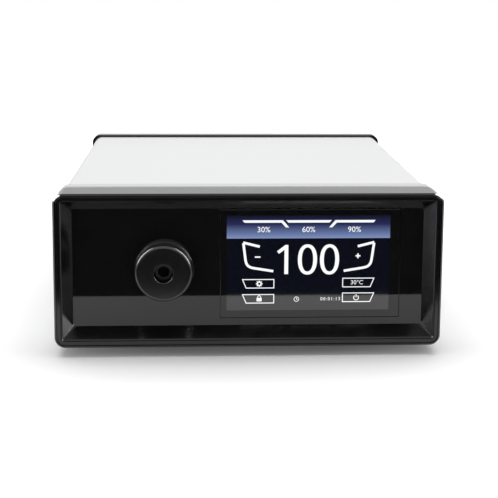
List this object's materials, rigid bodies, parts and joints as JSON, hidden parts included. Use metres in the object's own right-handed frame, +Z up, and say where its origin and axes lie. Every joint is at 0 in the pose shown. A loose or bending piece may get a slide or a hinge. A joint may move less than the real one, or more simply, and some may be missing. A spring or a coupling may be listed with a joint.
{
  "type": "fiber optic illuminator",
  "caption": "Desktop LED fiber optic illuminator with a rotary clamping light guide port, recessed black front, touch screen, painted cover and fan cooled rear.",
  "frame": {"origin": "on the table under the middle of the case", "axes": "+X to the right seen from the front, -Y out of the front panel, +Z up"},
  "size_m": [0.35, 0.38, 0.1505],
  "materials": {
    "bezel_plastic": "black moulded plastic, semi gloss with a fine even surface",
    "inset_plastic": "black moulded plastic, glossy slopes",
    "panel_plastic": "deep black high gloss sheet",
    "screen_glass": "clear cover glass with a black printed border",
    "display_face": "backlit colour display, emissive",
    "cover_paint": "light grey white fine satin paint",
    "zinc_steel": "zinc plated folded sheet",
    "rear_paint": "fine textured black paint",
    "knob_black": "black anodised turned metal, satin",
    "flange_black": "black anodised turned metal",
    "sleeve_steel": "turned stainless steel",
    "jaw_brass": "machined brass",
    "bench_aluminium": "milled aluminium",
    "barrel_black": "black anodised tube",
    "lens_glass": "polished optical glass",
    "spring_steel": "bright spring wire",
    "sensor_plastic": "black moulded body",
    "led_yellow": "phosphor dome on a white carrier",
    "copper_board": "copper core board",
    "sink_aluminium": "extruded fins, natural finish",
    "fan_plastic": "black glass filled plastic",
    "duct_plastic": "black sheet plastic",
    "guard_chrome": "bright plated wire",
    "board_green": "green lacquered circuit board with its parts",
    "ribbon_grey": "grey flat cable",
    "inlet_plastic": "black moulded plastic, fine texture",
    "contact_nickel": "nickel plated brass",
    "fuse_glass": "glass tube with end caps",
    "rocker_plastic": "black polished rocker",
    "screw_steel": "black oxide steel",
    "foot_rubber": "soft black rubber"
  },
  "bodies": {
    "root": {"front_bezel": "bezel_plastic", "rear_bezel": "bezel_plastic", "inset_frame": "inset_plastic", "front_panel": "panel_plastic", "touch_glass": "screen_glass", "display_lcd": "display_face", "display_frame": "zinc_steel", "display_posts": "contact_nickel", "display_board": "board_green", "display_ribbon": "ribbon_grey", "top_cover": "cover_paint", "base_tray": "zinc_steel", "feet": "foot_rubber", "foot_screws": "screw_steel", "case_screws": "screw_steel", "port_flange": "flange_black", "port_nut": "contact_nickel", "jaw_guide": "bench_aluminium", "guide_sleeve": "sleeve_steel", "optics_bracket": "bench_aluminium", "shutter_pin": "sleeve_steel", "shutter_spring": "spring_steel", "interlock_sensor": "sensor_plastic", "lens_barrel": "barrel_black", "condenser_lens": "lens_glass", "lens_spacer": "barrel_black", "collimator_lens": "lens_glass", "lens_retainer": "barrel_black", "led_board": "copper_board", "led_emitter": "led_yellow", "led_heatsink": "sink_aluminium", "sink_posts": "bench_aluminium", "led_fan_frame": "fan_plastic", "air_duct": "duct_plastic", "rear_fan_frame": "fan_plastic", "fan_guard": "guard_chrome", "fan_screws": "screw_steel", "main_board": "board_green", "driver_board": "board_green", "supply_board": "board_green", "supply_cage": "zinc_steel", "board_standoffs": "contact_nickel", "rear_panel": "rear_paint", "mains_inlet": "inlet_plastic", "inlet_pins": "contact_nickel", "earth_stud": "contact_nickel", "data_port": "contact_nickel", "footswitch_jack": "contact_nickel"},
    "port_knob": {"port_ring": "knob_black", "cam_plate": "bench_aluminium", "cam_screws": "screw_steel"},
    "jaw_1": {"jaw_1": "jaw_brass"},
    "jaw_2": {"jaw_2": "jaw_brass"},
    "jaw_3": {"jaw_3": "jaw_brass"},
    "shutter": {"shutter_flap": "sleeve_steel"},
    "led_fan": {"led_fan_rotor": "fan_plastic"},
    "rear_fan": {"rear_fan_rotor": "fan_plastic"},
    "rocker": {"power_rocker": "rocker_plastic"},
    "drawer": {"fuse_drawer": "inlet_plastic", "fuses": "fuse_glass"}
  },
  "joints": [
    {"name": "port_ring_turn", "type": "hinge", "parent": "root", "child": "port_knob", "pos_m": [-0.0769, -0.1677, 0.07755], "axis": [0, 1, 0], "range_deg": [0, 60]},
    {"name": "jaw_1_slide", "type": "slide", "parent": "root", "child": "jaw_1", "axis": [0, 0, -1], "range_m": [0, 0.0027]},
    {"name": "jaw_2_slide", "type": "slide", "parent": "root", "child": "jaw_2", "axis": [0.866, 0, 0.5], "range_m": [0, 0.0027]},
    {"name": "jaw_3_slide", "type": "slide", "parent": "root", "child": "jaw_3", "axis": [-0.866, 0, 0.5], "range_m": [0, 0.0027]},
    {"name": "shutter_swing", "type": "hinge", "parent": "root", "child": "shutter", "pos_m": [-0.0769, -0.1444, 0.09055], "axis": [1, 0, 0], "range_deg": [0, 75], "stiffness_Nm_per_rad": 0.002, "springref_deg": -20.05},
    {"name": "led_fan_spin", "type": "hinge", "parent": "root", "child": "led_fan", "pos_m": [-0.0769, -0.0088, 0.07755], "axis": [0, 1, 0], "continuous": true},
    {"name": "rear_fan_spin", "type": "hinge", "parent": "root", "child": "rear_fan", "pos_m": [-0.0769, 0.1535, 0.07755], "axis": [0, 1, 0], "continuous": true},
    {"name": "rocker_tilt", "type": "hinge", "parent": "root", "child": "rocker", "pos_m": [0.122, 0.18, 0.09595], "axis": [1, 0, 0], "range_deg": [0, 18]},
    {"name": "fuse_drawer_slide", "type": "slide", "parent": "root", "child": "drawer", "axis": [0, 1, 0], "range_m": [0, 0.02]}
  ],
  "couplings": [
    {"joint": "jaw_1_slide", "follows": "port_ring_turn", "m_per_rad": 0.0025783},
    {"joint": "jaw_2_slide", "follows": "port_ring_turn", "m_per_rad": 0.0025783},
    {"joint": "jaw_3_slide", "follows": "port_ring_turn", "m_per_rad": 0.0025783}
  ]
}
